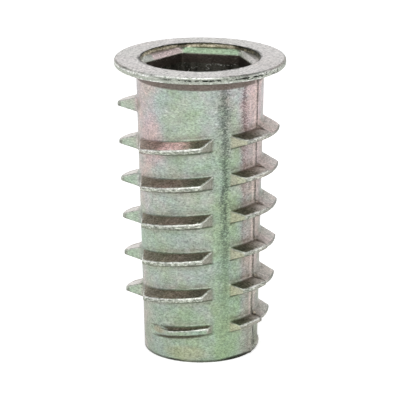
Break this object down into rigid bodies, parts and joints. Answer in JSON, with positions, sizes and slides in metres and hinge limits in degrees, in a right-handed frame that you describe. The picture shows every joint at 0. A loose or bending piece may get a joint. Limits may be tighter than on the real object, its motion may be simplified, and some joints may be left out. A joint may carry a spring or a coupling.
{
  "type": "threaded insert",
  "caption": "Flanged threaded insert for wood: tapered die-cast body with a coarse interrupted outer thread, a hex drive socket and a metric threaded bore.",
  "frame": {"origin": "middle of the lower end face, on the axis of the bore", "axes": "+Z along the axis from the narrow end up to the flange; X lies in the parting plane of the two die halves, with the seam in view at +X; -Y is the front die half's draw direction"},
  "size_m": [0.017, 0.017, 0.03],
  "materials": {
    "zinc": "die-cast zinc alloy with a pale iridescent chromate film, satin, fine-grained"
  },
  "bodies": {
    "root": {"insert": "zinc"}
  },
  "joints": []
}
